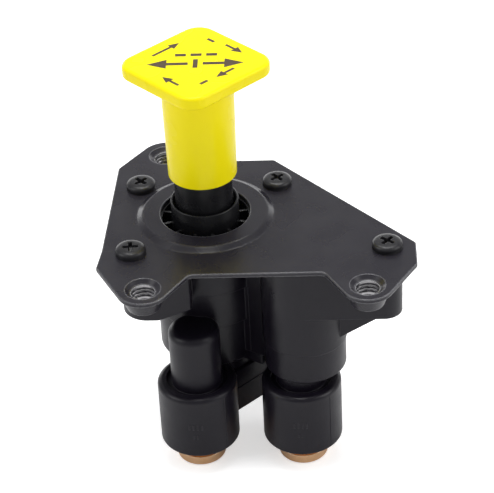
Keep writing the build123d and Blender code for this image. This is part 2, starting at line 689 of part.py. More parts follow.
def flange_face():
    """The flange in plan: follows the plate's edges, set back, round the housing and the column."""
    return rounded_face([
        (FLANGE_LEFT_FRONT_X, FLANGE_LEFT_LOBE_Y, FLANGE_FRONT_LEFT_R),
        (FLANGE_LEFT_LOBE_END_X, FLANGE_LEFT_LOBE_Y, FLANGE_LEFT_LOBE_END_R),
        (FLANGE_HOOK[0], FLANGE_HOOK[1], FLANGE_HOOK_R),
        (FLANGE_HOOK[0], 0, 0),
        (0, 0, 0),
        (COLUMN[0] - 0.8 * COLUMN_R, COLUMN[1], 0),
        (COLUMN[0], FLANGE_FRONT_Y, 0),
        (FLANGE_RIGHT_X, FLANGE_FRONT_Y, FLANGE_FRONT_RIGHT_R),
        (FLANGE_RIGHT_X, FLANGE_RIGHT_BACK_Y, FLANGE_CORNER_R),
        (FLANGE_DIAGONAL_X, FLANGE_BACK_Y, FLANGE_CORNER_R),
        (FLANGE_LEFT_BACK_X, FLANGE_BACK_Y, FLANGE_CORNER_R),
    ])


def flange():
    """Deep flange, cored out from below so that every wall is about as thick as the next."""
    face = flange_face()
    low = FLANGE_BOTTOM_Z - CUT_PAST
    pocket_height = BODY_TOP_Z - FLANGE_DECK_T - low
    body = extrude(Pos(0, 0, FLANGE_BOTTOM_Z) * face, amount=BODY_TOP_Z - FLANGE_BOTTOM_Z)
    pockets = extrude(Pos(0, 0, low) * offset(face, -FLANGE_WALL), amount=pocket_height)
    pockets -= rod(HOUSING_TOP_R, low, 0)
    pockets -= rod(COLUMN_R, low, 0, COLUMN)
    pockets -= rod(REAR_COLUMN_R, low, 0, (PORT_RIGHT_X, PORT_REAR_Y))
    for place in SCREW_PLACES:
        pockets -= rod(SCREW_BOSS_R, low, 0, place)
        pockets -= wall_between((0, 0), place, FLANGE_WALL, low, 0)
    pockets -= wall_between((PORT_RIGHT_X, PORT_REAR_Y), COLUMN, COLUMN_WEB_T, low, 0)
    pockets -= wall_between((0, 0), COLUMN, COLUMN_WEB_T, low, 0)
    return body - pockets


def housing():
    """Stepped round housing of the plunger bore, closed below by a smaller cap."""
    return turned([
        (0, BODY_TOP_Z),
        (HOUSING_TOP_R, BODY_TOP_Z),
        (HOUSING_TOP_R, FLANGE_BOTTOM_Z),
        (HOUSING_MID_R, FLANGE_BOTTOM_Z),
        (HOUSING_MID_R, HOUSING_LOW_TOP_Z),
        (HOUSING_LOW_R, HOUSING_LOW_TOP_Z),
        (HOUSING_LOW_R, HOUSING_END_Z + HOUSING_EDGE),
        (HOUSING_LOW_R - HOUSING_EDGE, HOUSING_END_Z),
        (HOUSING_CAP_R, HOUSING_END_Z),
        (HOUSING_CAP_R, HOUSING_CAP_Z + HOUSING_EDGE),
        (HOUSING_CAP_R - HOUSING_EDGE, HOUSING_CAP_Z),
        (0, HOUSING_CAP_Z),
    ])


def check_column():
    body = rod(COLUMN_R, COLUMN_STEP_Z, BODY_TOP_Z, COLUMN)
    low = rod(COLUMN_LOW_R, COLUMN_END_Z, COLUMN_STEP_Z, COLUMN)
    body += chamfer(low.edges().group_by(Axis.Z)[0], COLUMN_EDGE)
    return body + wall_between((0, 0), COLUMN, COLUMN_WEB_T, COLUMN_END_Z, BODY_TOP_Z)


def port_shell(place):
    """Outside of a tube port: a barrel with a rounded shoulder."""
    shell = rod(PORT_R, PORT_END_Z, PORT_TOP_Z, place)
    shell = fillet(shell.edges().group_by(Axis.Z)[-1], PORT_SHOULDER_R)
    return fillet(shell.edges().group_by(Axis.Z)[0], PORT_EDGE_R)


def neck_groove(place, neck_radius):
    """Shallow groove in the shoulder round the neck."""
    return tube(neck_radius + NECK_GROOVE_W, neck_radius, PORT_TOP_Z - NECK_GROOVE_DEPTH, PORT_TOP_Z, place)


def port_room(place):
    """Inside of a tube port: tube stop, gland for the seal and bore for the retainer."""
    return turned([
        (0, TUBE_STOP_Z),
        (TUBE_BORE_R, TUBE_STOP_Z),
        (TUBE_BORE_R, GLAND_TOP_Z),
        (GLAND_R, GLAND_TOP_Z),
        (GLAND_R, RETAINER_TOP_Z),
        (RETAINER_R, RETAINER_TOP_Z),
        (RETAINER_R, PORT_END_Z - CUT_PAST),
        (0, PORT_END_Z - CUT_PAST),
    ], place)


def port_outsides():
    """The three tube ports with their necks, the exhaust spigot, and the webs between them."""
    delivery = TUBE_PORTS["delivery"]
    front = TUBE_PORTS["front_supply"]
    rear = TUBE_PORTS["rear_supply"]
    neck_end = PORT_TOP_Z - 2 * NECK_GROOVE_DEPTH
    neck = rod(NECK_R, neck_end, NECK_TOP_Z, delivery)
    neck = fillet(neck.edges().group_by(Axis.Z)[-1], NECK_EDGE_R)
    body = neck + port_shell(delivery) - neck_groove(delivery, NECK_R)
    body += rod(NECK_R, neck_end, COLUMN_END_Z + ROOT, front) + port_shell(front)
    body -= neck_groove(front, NECK_R)
    body += rod(REAR_COLUMN_R, neck_end, BODY_TOP_Z, rear) + port_shell(rear)
    body -= neck_groove(rear, REAR_COLUMN_R)
    body += wall_between((0, 0), rear, REAR_WEB_T, HOUSING_END_Z, FLANGE_BOTTOM_Z + ROOT)
    body += wall_between(delivery, rear, PORT_WEB_T, PORT_END_Z + PORT_WEB_RISE, PORT_WEB_TOP_Z)
    return body + rod(EXHAUST_SPIGOT_R, EXHAUST_SPIGOT_END_Z, EXHAUST_ROOM_TOP_Z, EXHAUST_PLACE)


def gusset():
    """Rib under the flange from the check column to the right-hand screw boss."""
    root = COLUMN[0] + 0.8 * COLUMN_R
    tip = FLANGE_RIGHT_X - GUSSET_SET_BACK
    side = make_face(Polyline(
        (root, FLANGE_BOTTOM_Z + ROOT),
        (tip, FLANGE_BOTTOM_Z + ROOT),
        (tip, FLANGE_BOTTOM_Z),
        (root, FLANGE_BOTTOM_Z - GUSSET_DROP),
        close=True))
    return Pos(0, GUSSET_Y + 0.5 * GUSSET_T, 0) * extrude(Plane.XZ * side, amount=GUSSET_T)


def plunger_bore():
    """All rooms of the plunger bore, from the guide's seat down to the exhaust room."""
    return turned([
        (0, CUT_PAST),
        (GUIDE_FLANGE_R + FIT_GAP, CUT_PAST),
        (GUIDE_FLANGE_R + FIT_GAP, GUIDE_FLANGE_BOTTOM_Z),
        (GUIDE_ROOM_R, GUIDE_FLANGE_BOTTOM_Z),
        (GUIDE_ROOM_R, GUIDE_END_Z - FIT_GAP),
        (SUPPLY_BORE_R, GUIDE_END_Z - FIT_GAP),
        (SUPPLY_BORE_R, SEAT_BOTTOM_Z),
        (DELIVERY_BORE_R, SEAT_BOTTOM_Z),
        (DELIVERY_BORE_R, DELIVERY_FLOOR_Z),
        (EXHAUST_LIP_R, DELIVERY_FLOOR_Z),
        (EXHAUST_LIP_R, EXHAUST_SEAT_Z),
        (EXHAUST_SEAT_R, EXHAUST_SEAT_Z),
        (EXHAUST_SEAT_R, EXHAUST_ROOM_TOP_Z),
        (EXHAUST_ROOM_R, EXHAUST_ROOM_TOP_Z),
        (EXHAUST_ROOM_R, EXHAUST_BORE_FLOOR_Z),
        (0, EXHAUST_BORE_FLOOR_Z),
    ])


def check_bore():
    """Rooms of the check column: cap seat, shuttle room and the lower seat."""
    flange_bottom = BODY_TOP_Z - CAP_FLANGE_T
    return turned([
        (0, CUT_PAST),
        (CAP_FLANGE_R + FIT_GAP, CUT_PAST),
        (CAP_FLANGE_R + FIT_GAP, flange_bottom),
        (CAP_ROOM_R, flange_bottom),
        (CAP_ROOM_R, CAP_END_Z),
        (CHECK_BORE_R, CAP_END_Z),
        (CHECK_BORE_R, CHECK_FLOOR_Z),
        (CHECK_LIP_R, CHECK_FLOOR_Z),
        (CHECK_LIP_R, CHECK_SEAT_Z),
        (CHECK_SEAT_R, CHECK_SEAT_Z),
        (CHECK_SEAT_R, COLUMN_STEP_Z),
        (0, COLUMN_STEP_Z),
    ], COLUMN)


def passages():
    """Drillings that join the rooms to each other and to the ports."""
    delivery = TUBE_PORTS["delivery"]
    front = TUBE_PORTS["front_supply"]
    rear = TUBE_PORTS["rear_supply"]
    exhaust_z = 0.5 * (EXHAUST_ROOM_TOP_Z + EXHAUST_BORE_FLOOR_Z)
    below_stop = TUBE_STOP_Z - CUT_PAST
    cuts = rod(PASSAGE_R, below_stop, DELIVERY_PASSAGE_Z, delivery)
    cuts += drilling((*delivery, DELIVERY_PASSAGE_Z), (0, 0, DELIVERY_PASSAGE_Z), PASSAGE_R)
    cuts += rod(PASSAGE_R, below_stop, COLUMN_STEP_Z + PASSAGE_R, front)
    cuts += rod(PASSAGE_R, below_stop, REAR_FEED_Z, rear)
    cuts += drilling((*rear, REAR_FEED_Z), (*COLUMN, REAR_FEED_Z), REAR_FEED_R)
    cuts += drilling((*COLUMN, FEED_Z), (0, 0, FEED_Z), FEED_R)
    cuts += drilling((0, 0, exhaust_z), (*EXHAUST_PLACE, exhaust_z), EXHAUST_PASSAGE_R)
    return cuts + rod(EXHAUST_PORT_R, EXHAUST_SPIGOT_END_Z - CUT_PAST, exhaust_z, EXHAUST_PLACE)


def valve_body():
    body = flange() + housing() + check_column() + port_outsides() + gusset()
    body -= plunger_bore()
    body -= check_bore()
    for place in TUBE_PORTS.values():
        body -= port_room(place)
    body -= passages()
    for place in SCREW_PLACES:
        body -= rod(PILOT_HOLE_R, -SCREW_LENGTH - CUT_PAST, 0, place)
    return body


def main_pieces():
    pieces = {
        "mounting_plate": mounting_plate(),
        "plate_screws": Compound(children=[plate_screw(place) for place in SCREW_PLACES]),
        "valve_body": valve_body(),
        "knob": knob(),
        "knob_insert": knob_insert(),
        "plunger": plunger(),
        "plunger_stem": plunger_stem(),
        "valve_disc": valve_disc(),
        "disc_washer": disc_washer(),
        "disc_nut": disc_nut(),
        "return_spring": return_spring(),
        "plunger_guide": plunger_guide(),
        "wiper_seal": wiper_seal(),
        "plunger_seal": plunger_seal(),
        "guide_seal": guide_seal(),
        "inlet_seat": inlet_seat(),
        "inlet_seat_seal": inlet_seat_seal(),
        "check_cap": check_cap(),
        "check_cap_seals": check_cap_seals(),
        "check_shuttle": check_shuttle(),
        "shuttle_faces": shuttle_faces(),
    }
    for name, place in TUBE_PORTS.items():
        pieces[name + "_collet"] = collet(place)
        pieces[name + "_retainer"] = collet_retainer(place)
        pieces[name + "_tube_seal"] = tube_seal(place)
    return pieces


for node, shape in main_pieces().items():
    export_step(shape, f"parts/{node}.step")
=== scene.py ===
import math

import bmesh
import bpy
from mathutils import Matrix, Vector


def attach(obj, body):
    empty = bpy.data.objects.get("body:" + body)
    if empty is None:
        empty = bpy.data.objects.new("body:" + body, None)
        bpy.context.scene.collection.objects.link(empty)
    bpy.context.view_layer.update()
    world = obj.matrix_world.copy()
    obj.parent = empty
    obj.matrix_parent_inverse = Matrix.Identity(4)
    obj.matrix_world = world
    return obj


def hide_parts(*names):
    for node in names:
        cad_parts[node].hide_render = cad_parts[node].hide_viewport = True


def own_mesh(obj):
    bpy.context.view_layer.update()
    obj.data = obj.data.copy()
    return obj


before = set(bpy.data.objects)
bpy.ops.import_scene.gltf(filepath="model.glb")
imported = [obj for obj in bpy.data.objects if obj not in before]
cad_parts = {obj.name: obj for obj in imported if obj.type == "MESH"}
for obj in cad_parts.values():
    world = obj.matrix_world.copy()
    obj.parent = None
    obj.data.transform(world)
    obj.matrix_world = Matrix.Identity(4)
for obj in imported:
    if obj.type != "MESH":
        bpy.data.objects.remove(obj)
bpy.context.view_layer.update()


# Camera and studio.
# A long lens looks down on the valve from the driver's side, a little from the right and slightly
# rolled. A pale sheet lies under the valve and a softbox stands on each side.

MM = 0.001
CAMERA_PLACE = (40.31 * MM, -509.14 * MM, 339.18 * MM)
CAMERA_TILT = 55.423
CAMERA_TURN = 3.158
CAMERA_ROLL = -2.976
LENS = 145.785
SENSOR = 36.0
FLOOR_Z = -75.45 * MM

camera_data = bpy.data.cameras.new("studio_camera")
camera_data.lens = LENS
camera_data.sensor_width = SENSOR
camera_data.sensor_fit = "HORIZONTAL"
camera_data.clip_start = 0.01
camera_data.clip_end = 20.0
camera = bpy.data.objects.new("studio_camera", camera_data)
bpy.context.scene.collection.objects.link(camera)
camera.matrix_world = (Matrix.Translation(CAMERA_PLACE)
                       @ Matrix.Rotation(math.radians(CAMERA_TURN), 4, "Z")
                       @ Matrix.Rotation(math.radians(CAMERA_TILT), 4, "X")
                       @ Matrix.Rotation(math.radians(CAMERA_ROLL), 4, "Z"))
bpy.context.scene.camera = camera
bpy.context.scene.view_settings.view_transform = "Standard"


def softbox(name, place, aim, width, height, watts):
    light = bpy.data.lights.new(name, "AREA")
    light.shape = "RECTANGLE"
    light.size = width
    light.size_y = height
    light.energy = watts
    lamp = bpy.data.objects.new(name, light)
    bpy.context.scene.collection.objects.link(lamp)
    lamp.location = place
    lamp.rotation_euler = (Vector(aim) - Vector(place)).to_track_quat("-Z", "Y").to_euler()
    return lamp


softbox("softbox_overhead", (0.0, 0.3, 0.95), (0, 0, 0), 0.6, 0.28, 5.0)
softbox("softbox_low_back", (0.0, 1.1, 0.12), (0, 0, 0), 1.8, 0.4, 6.0)
softbox("spot_above", (0.0, -0.07, 1.0), (0, 0, 0), 0.2, 0.14, 1.6)
softbox("softbox_left", (-0.75, -0.25, 0.55), (0, 0, 0), 0.5, 0.7, 2.6)
softbox("softbox_right", (0.8, -0.2, 0.5), (0, 0, 0), 0.5, 0.7, 3.2)

world = bpy.data.worlds.new("studio_air")
bpy.context.scene.world = world
world.use_nodes = True
world_nodes = world.node_tree.nodes
world_links = world.node_tree.links
world_nodes.clear()
world_out = world_nodes.new("ShaderNodeOutputWorld")
world_seen = world_nodes.new("ShaderNodeBackground")
world_seen.inputs["Color"].default_value = (1, 1, 1, 1)
world_seen.inputs["Strength"].default_value = 1.0
world_light = world_nodes.new("ShaderNodeBackground")
world_light.inputs["Color"].default_value = (0.97, 0.98, 1.0, 1)
world_light.inputs["Strength"].default_value = 0.45
world_mix = world_nodes.new("ShaderNodeMixShader")
world_path = world_nodes.new("ShaderNodeLightPath")
world_links.new(world_path.outputs["Is Camera Ray"], world_mix.inputs["Fac"])
world_links.new(world_light.outputs["Background"], world_mix.inputs[1])
world_links.new(world_seen.outputs["Background"], world_mix.inputs[2])
world_links.new(world_mix.outputs["Shader"], world_out.inputs["Surface"])


def new_piece(name, bm, body, smooth_angle=35, weighted=False):
    """Turns a bmesh in millimetres into a piece that rides on a body."""
    mesh = bpy.data.meshes.new(name)
    bmesh.ops.recalc_face_normals(bm, faces=bm.faces)
    bmesh.ops.scale(bm, vec=(MM, MM, MM), verts=bm.verts)
    bm.to_mesh(mesh)
    bm.free()
    piece = bpy.data.objects.new(name, mesh)
    bpy.context.scene.collection.objects.link(piece)
    mesh.shade_smooth()
    mesh.set_sharp_from_angle(angle=math.radians(smooth_angle))
    if weighted:
        even = piece.modifiers.new("even_normals", "WEIGHTED_NORMAL")
        even.keep_sharp = True
        even.weight = 90
    if body:
        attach(piece, body)
    return piece


floor_mesh = bmesh.new()
bmesh.ops.create_grid(floor_mesh, x_segments=8, y_segments=8, size=3000)
bmesh.ops.translate(floor_mesh, vec=(0, 0, FLOOR_Z / MM), verts=floor_mesh.verts)
floor = new_piece("paper_floor", floor_mesh, None)
paper = bpy.data.materials.new("paper_white")
paper.use_nodes = True
paper_nodes = paper.node_tree.nodes
paper_links = paper.node_tree.links
paper_skin = paper_nodes["Principled BSDF"]
paper_skin.inputs["Base Color"].default_value = (0.9, 0.9, 0.9, 1)
paper_skin.inputs["Roughness"].default_value = 0.9
paper_skin.inputs["Emission Color"].default_value = (1, 1, 1, 1)
paper_path = paper_nodes.new("ShaderNodeLightPath")
paper_glow = paper_nodes.new("ShaderNodeMath")
paper_glow.operation = "MULTIPLY"
paper_glow.inputs[1].default_value = 0.5
paper_links.new(paper_path.outputs["Is Camera Ray"], paper_glow.inputs[0])
paper_links.new(paper_glow.outputs[0], paper_skin.inputs["Emission Strength"])
floor.data.materials.append(paper)


# Surface effects that several pieces share.
# Each is a shader group: rounded edges with a fine grain in them, an edge mask for wear and painted highlights, and
# turned lines.
# The pieces below feed their own sizes into them.

def new_group(name, numbers, outputs):
    """An empty shader group with number inputs, given as names and defaults, and named outputs."""
    group = bpy.data.node_groups.new(name, "ShaderNodeTree")
    for label, value in numbers:
        socket = group.interface.new_socket(label, in_out="INPUT", socket_type="NodeSocketFloat")
        socket.default_value = value
    for label, kind in outputs:
        group.interface.new_socket(label, in_out="OUTPUT", socket_type=kind)
    inner = group.nodes.new("NodeGroupInput")
    outer = group.nodes.new("NodeGroupOutput")
    return group, inner, outer


def math_node(tree, operation, first, second=None, clamp=False):
    node = tree.nodes.new("ShaderNodeMath")
    node.operation = operation
    node.use_clamp = clamp
    for socket, value in zip(node.inputs, (first, second)):
        if value is None:
            continue
        if isinstance(value, (int, float)):
            socket.default_value = value
        else:
            tree.links.new(value, socket)
    return node.outputs[0]


def noise_node(tree, vector, scale, detail, rough=0.5):
    node = tree.nodes.new("ShaderNodeTexNoise")
    node.inputs["Detail"].default_value = detail
    node.inputs["Roughness"].default_value = rough
    tree.links.new(vector, node.inputs["Vector"])
    if isinstance(scale, (int, float)):
        node.inputs["Scale"].default_value = scale
    else:
        tree.links.new(scale, node.inputs["Scale"])
    return node.outputs["Fac"]


skin_group, skin_in, skin_out = new_group(
    "moulded_skin",
    [("Edge Radius", 0.0003), ("Grain Scale", 2500.0), ("Grain Depth", 0.3), ("Wave Scale", 150.0),
     ("Wave Depth", 0.1)],
    [("Normal", "NodeSocketVector"), ("Edge", "NodeSocketFloat"), ("Grain", "NodeSocketFloat"),
     ("Patches", "NodeSocketFloat")])
skin_place = skin_group.nodes.new("ShaderNodeTexCoord")
skin_edge = skin_group.nodes.new("ShaderNodeBevel")
skin_edge.samples = 6
skin_group.links.new(skin_in.outputs["Edge Radius"], skin_edge.inputs["Radius"])
skin_flat = skin_group.nodes.new("ShaderNodeNewGeometry")
skin_turn = skin_group.nodes.new("ShaderNodeVectorMath")
skin_turn.operation = "DOT_PRODUCT"
skin_group.links.new(skin_edge.outputs["Normal"], skin_turn.inputs[0])
skin_group.links.new(skin_flat.outputs["Normal"], skin_turn.inputs[1])
skin_bend = math_node(skin_group, "SUBTRACT", 1.0, skin_turn.outputs["Value"], clamp=True)
skin_bend = math_node(skin_group, "MULTIPLY", skin_bend, 6.0, clamp=True)
skin_grain = noise_node(skin_group, skin_place.outputs["Object"], skin_in.outputs["Grain Scale"], 3.0)
skin_wave = noise_node(skin_group, skin_place.outputs["Object"], skin_in.outputs["Wave Scale"], 2.0)
skin_rough = skin_group.nodes.new("ShaderNodeBump")
skin_rough.inputs["Distance"].default_value = 0.0001
skin_group.links.new(skin_in.outputs["Grain Depth"], skin_rough.inputs["Strength"])
skin_group.links.new(skin_grain, skin_rough.inputs["Height"])
skin_group.links.new(skin_edge.outputs["Normal"], skin_rough.inputs["Normal"])
skin_soft = skin_group.nodes.new("ShaderNodeBump")
skin_soft.inputs["Distance"].default_value = 0.001
skin_group.links.new(skin_in.outputs["Wave Depth"], skin_soft.inputs["Strength"])
skin_group.links.new(skin_wave, skin_soft.inputs["Height"])
skin_group.links.new(skin_rough.outputs["Normal"], skin_soft.inputs["Normal"])
skin_group.links.new(skin_soft.outputs["Normal"], skin_out.inputs["Normal"])
skin_group.links.new(skin_bend, skin_out.inputs["Edge"])
skin_group.links.new(skin_grain, skin_out.inputs["Grain"])
skin_group.links.new(skin_wave, skin_out.inputs["Patches"])

lines_group, lines_in, lines_out = new_group(
    "turned_lines",
    [("Edge Radius", 0.0002), ("Line Scale", 6000.0), ("Line Depth", 0.25)],
    [("Normal", "NodeSocketVector"), ("Edge", "NodeSocketFloat"), ("Lines", "NodeSocketFloat"),
     ("Patches", "NodeSocketFloat")])
lines_place = lines_group.nodes.new("ShaderNodeTexCoord")
lines_axis = lines_group.nodes.new("ShaderNodeMapping")
lines_axis.inputs["Scale"].default_value = (0.03, 0.03, 1.0)
lines_group.links.new(lines_place.outputs["Object"], lines_axis.inputs["Vector"])
lines_edge = lines_group.nodes.new("ShaderNodeBevel")
lines_edge.samples = 6
lines_group.links.new(lines_in.outputs["Edge Radius"], lines_edge.inputs["Radius"])
lines_flat = lines_group.nodes.new("ShaderNodeNewGeometry")
lines_turn = lines_group.nodes.new("ShaderNodeVectorMath")
lines_turn.operation = "DOT_PRODUCT"
lines_group.links.new(lines_edge.outputs["Normal"], lines_turn.inputs[0])
lines_group.links.new(lines_flat.outputs["Normal"], lines_turn.inputs[1])
lines_bend = math_node(lines_group, "SUBTRACT", 1.0, lines_turn.outputs["Value"], clamp=True)
lines_bend = math_node(lines_group, "MULTIPLY", lines_bend, 6.0, clamp=True)
lines_mark = noise_node(lines_group, lines_axis.outputs["Vector"], lines_in.outputs["Line Scale"], 2.0, 0.7)
lines_patch = noise_node(lines_group, lines_place.outputs["Object"], 180.0, 4.0, 0.6)
lines_bump = lines_group.nodes.new("ShaderNodeBump")
lines_bump.inputs["Distance"].default_value = 0.00005
lines_group.links.new(lines_in.outputs["Line Depth"], lines_bump.inputs["Strength"])
lines_group.links.new(lines_mark, lines_bump.inputs["Height"])
lines_group.links.new(lines_edge.outputs["Normal"], lines_bump.inputs["Normal"])
lines_group.links.new(lines_bump.outputs["Normal"], lines_out.inputs["Normal"])
lines_group.links.new(lines_bend, lines_out.inputs["Edge"])
lines_group.links.new(lines_mark, lines_out.inputs["Lines"])
lines_group.links.new(lines_patch, lines_out.inputs["Patches"])


def dressed(name, group, sizes, colour, patch_colour, edge_wear_and_highlight_colour, edge_wear_and_highlight_share, rough, rough_spread, metal=0.0,
            shine=0.5):
    """A material whose group gives it rounded edges and grain, patches of a second colour, and edges lightened partly
    as wear and partly as a painted highlight.
    """
    material = bpy.data.materials.new(name)
    material.use_nodes = True
    tree = material.node_tree
    shader = tree.nodes["Principled BSDF"]
    shader.inputs["Metallic"].default_value = metal
    shader.inputs["Specular IOR Level"].default_value = shine
    effect = tree.nodes.new("ShaderNodeGroup")
    effect.node_tree = group
    for label, value in sizes.items():
        effect.inputs[label].default_value = value
    spread = tree.nodes.new("ShaderNodeMapRange")
    spread.inputs["From Min"].default_value = 0.2
    spread.inputs["From Max"].default_value = 0.8
    tree.links.new(effect.outputs["Patches"], spread.inputs["Value"])
    tint = tree.nodes.new("ShaderNodeMix")
    tint.data_type = "RGBA"
    tint.inputs["A"].default_value = (*colour, 1)
    tint.inputs["B"].default_value = (*patch_colour, 1)
    tree.links.new(spread.outputs["Result"], tint.inputs["Factor"])
    # Rounded edges are lightened towards the edge colour: partly wear, partly a painted highlight along them.
    wear_and_highlight_mix = tree.nodes.new("ShaderNodeMix")
    wear_and_highlight_mix.data_type = "RGBA"
    wear_and_highlight_mix.inputs["B"].default_value = (*edge_wear_and_highlight_colour, 1)
    tree.links.new(tint.outputs["Result"], wear_and_highlight_mix.inputs["A"])
    share = math_node(tree, "MULTIPLY", effect.outputs["Edge"], edge_wear_and_highlight_share, clamp=True)
    tree.links.new(share, wear_and_highlight_mix.inputs["Factor"])
    tree.links.new(wear_and_highlight_mix.outputs["Result"], shader.inputs["Base Color"])
    gloss = tree.nodes.new("ShaderNodeMapRange")
    gloss.inputs["From Min"].default_value = 0.2
    gloss.inputs["From Max"].default_value = 0.8
    gloss.inputs["To Min"].default_value = rough - rough_spread
    gloss.inputs["To Max"].default_value = rough + rough_spread
    tree.links.new(effect.outputs["Patches"], gloss.inputs["Value"])
    tree.links.new(gloss.outputs["Result"], shader.inputs["Roughness"])
    tree.links.new(effect.outputs["Normal"], shader.inputs["Normal"])
    return material


def finish(material, *nodes):
    """Gives CAD pieces that stay as they are their material."""
    for node in nodes:
        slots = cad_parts[node].data.materials
        slots.clear()
        slots.append(material)


def polyline_rounded(points, radii, steps=5):
    """Rounds the inner corners of an open line of points in a plane."""
    line = [Vector(points[0])]
    for before, corner, after, radius in zip(points, points[1:], points[2:], radii):
        p = Vector(corner)
        u = (Vector(before) - p).normalized()
        v = (Vector(after) - p).normalized()
        half = 0.5 * u.angle(v)
        if radius <= 0 or half > math.radians(88):
            line.append(p)
            continue
        centre = p + (u + v).normalized() * (radius / math.sin(half))
        start = p + u * (radius / math.tan(half)) - centre
        end = p + v * (radius / math.tan(half)) - centre
        turn = start.angle_signed(end)
        for step in range(steps + 1):
            a = -turn * step / steps
            line.append(centre + Vector((start.x * math.cos(a) - start.y * math.sin(a),
                                         start.x * math.sin(a) + start.y * math.cos(a))))
    line.append(Vector(points[-1]))
    return line


def circle(bm, radius, z, place=(0, 0), count=96):
    """A ring of vertices, or one vertex where the radius is nothing."""
    if radius <= 0:
        return [bm.verts.new((place[0], place[1], z))]
    return [bm.verts.new((place[0] + radius * math.cos(2 * math.pi * i / count),
                          place[1] + radius * math.sin(2 * math.pi * i / count), z)) for i in range(count)]


def bridge(bm, low, high):
    """Faces between two rings of vertices; either may be a single point."""
    count = max(len(low), len(high))
    for i in range(count):
        corners = []
        for ring, order in ((low, (i, i + 1)), (high, (i + 1, i))):
            for k in order:
                vert = ring[k % len(ring)]
                if vert not in corners:
                    corners.append(vert)
        bm.faces.new(corners)


def lathe(bm, profile, place=(0, 0), count=96):
    """A turned skin through radius and height pairs. Gives back its first and last rings."""
    rings = [circle(bm, r, z, place, count) for r, z in profile]
    for low, high in zip(rings, rings[1:]):
        bridge(bm, low, high)
    return rings[0], rings[-1]


def fill(bm, rings):
    """A flat face between an outer ring and any rings inside it."""
    edges = []
    for ring in rings:
        for a, b in zip(ring, ring[1:] + ring[:1]):
            edge = bm.edges.get((a, b))
            edges.append(edge or bm.edges.new((a, b)))
    bmesh.ops.triangle_fill(bm, use_beauty=True, use_dissolve=False, edges=edges)


# Valve body.
# One injection moulding in glass-filled nylon: deep flange, plunger housing, check column and ports.
# The two halves of the mould leave a fine line in the valley and down each port.

body_plastic = dressed(
    "body_nylon", skin_group,
    {"Edge Radius": 0.35 * MM, "Grain Scale": 3200.0, "Grain Depth": 0.35, "Wave Scale": 120.0, "Wave Depth": 0.16},
    (0.0055, 0.0042, 0.0082), (0.0085, 0.0070, 0.0118), (0.055, 0.052, 0.064), 0.6, 0.33, 0.08, shine=0.29)
finish(body_plastic, "valve_body")

FLASH_W = 0.34
FLASH_H = 0.14
WEB_FACE_PLACE = (12.57, -13.57)
WEB_FACE_NORMAL = (-0.522, -0.853)
PORT_FLASH_R = 12.35
PORT_PLACES = [(-4.2, -22.0), (28.2, -22.0), (28.2, 10.0)]


def mould_line(bm, place, normal, bottom, top):
    """A fine upright ridge of triangular section on a wall."""
    out = Vector(normal).normalized()
    side = Vector((-out.y, out.x))
    section = [Vector(place) + side * (0.5 * FLASH_W) - out * 0.05,
               Vector(place) + out * FLASH_H,
               Vector(place) - side * (0.5 * FLASH_W) - out * 0.05]
    low = [bm.verts.new((p.x, p.y, bottom)) for p in section]
    high = [bm.verts.new((p.x, p.y, top)) for p in section]
    bridge(bm, low, high)
    bm.faces.new(low)
    bm.faces.new(list(reversed(high)))


flash = bmesh.new()
mould_line(flash, WEB_FACE_PLACE, WEB_FACE_NORMAL, -42.3, -18.2)
for port_x, port_y in PORT_PLACES:
    for degrees in (-45, 135):
        out = (math.cos(math.radians(degrees)), math.sin(math.radians(degrees)))
        mould_line(flash, (port_x + PORT_FLASH_R * out[0], port_y + PORT_FLASH_R * out[1]), out, -67.0, -47.6)
mould_lines = new_piece("mould_lines", flash, "housing")
mould_lines.data.materials.append(body_plastic)

RIB_WALLS = [
    ((0.0, 0.0), (29.7, -18.2), 10.0, 10.0, 22.0, -46.6, -42.4),
    ((-4.2, -22.0), (28.2, 10.0), 4.6, 10.0, 35.6, -58.2, -51.0),
]
ribs_mesh = bmesh.new()
for start, end, width, run_from, run_to, low_z, high_z in RIB_WALLS:
    along = (Vector(end) - Vector(start)).normalized()
    made = bmesh.ops.create_cube(ribs_mesh, size=1.0)["verts"]
    bmesh.ops.scale(ribs_mesh, vec=(run_to - run_from, width, high_z - low_z), verts=made)
    bmesh.ops.translate(ribs_mesh, vec=(0.5 * (run_from + run_to), 0, 0.5 * (low_z + high_z)), verts=made)
    turn = Matrix.Rotation(math.atan2(along.y, along.x), 4, "Z")
    bmesh.ops.transform(ribs_mesh, matrix=Matrix.Translation((*start, 0)) @ turn, verts=made)
    rib_edges = [edge for edge in ribs_mesh.edges if edge.verts[0] in made and edge.verts[1] in made]
    bmesh.ops.bevel(ribs_mesh, geom=rib_edges, offset=0.4, segments=3, profile=0.5, affect="EDGES")
ribs = new_piece("moulded_ribs", ribs_mesh, "housing", 40)
ribs.data.materials.append(body_plastic)

PAD_RADIUS = 12.35
PAD_ROWS = [(-56.2, 2.0, (-15, -9, -3, 3)), (-60.0, 1.3, (-9, -4))]
pads_mesh = bmesh.new()
for port_x, port_y in PORT_PLACES[:2]:
    for pad_z, pad_h, pad_angles in PAD_ROWS:
        for degrees in pad_angles:
            turn = Matrix.Rotation(math.radians(degrees - 86), 4, "Z")
            made = bmesh.ops.create_cube(pads_mesh, size=1.0)["verts"]
            bmesh.ops.scale(pads_mesh, vec=(0.3, 0.45, pad_h), verts=made)
            bmesh.ops.translate(pads_mesh, vec=(PAD_RADIUS - 0.06, 0, pad_z), verts=made)
            bmesh.ops.transform(pads_mesh, matrix=Matrix.Translation((port_x, port_y, 0)) @ turn, verts=made)
pads = new_piece("port_marks", pads_mesh, "housing", 30)
pads.data.materials.append(body_plastic)


# Inlet seat, valve disc, its stem and the return spring.
# Brass and steel turned parts with rubber faces, all inside the plunger bore.
# They show only where the ports are open or the body is taken off.

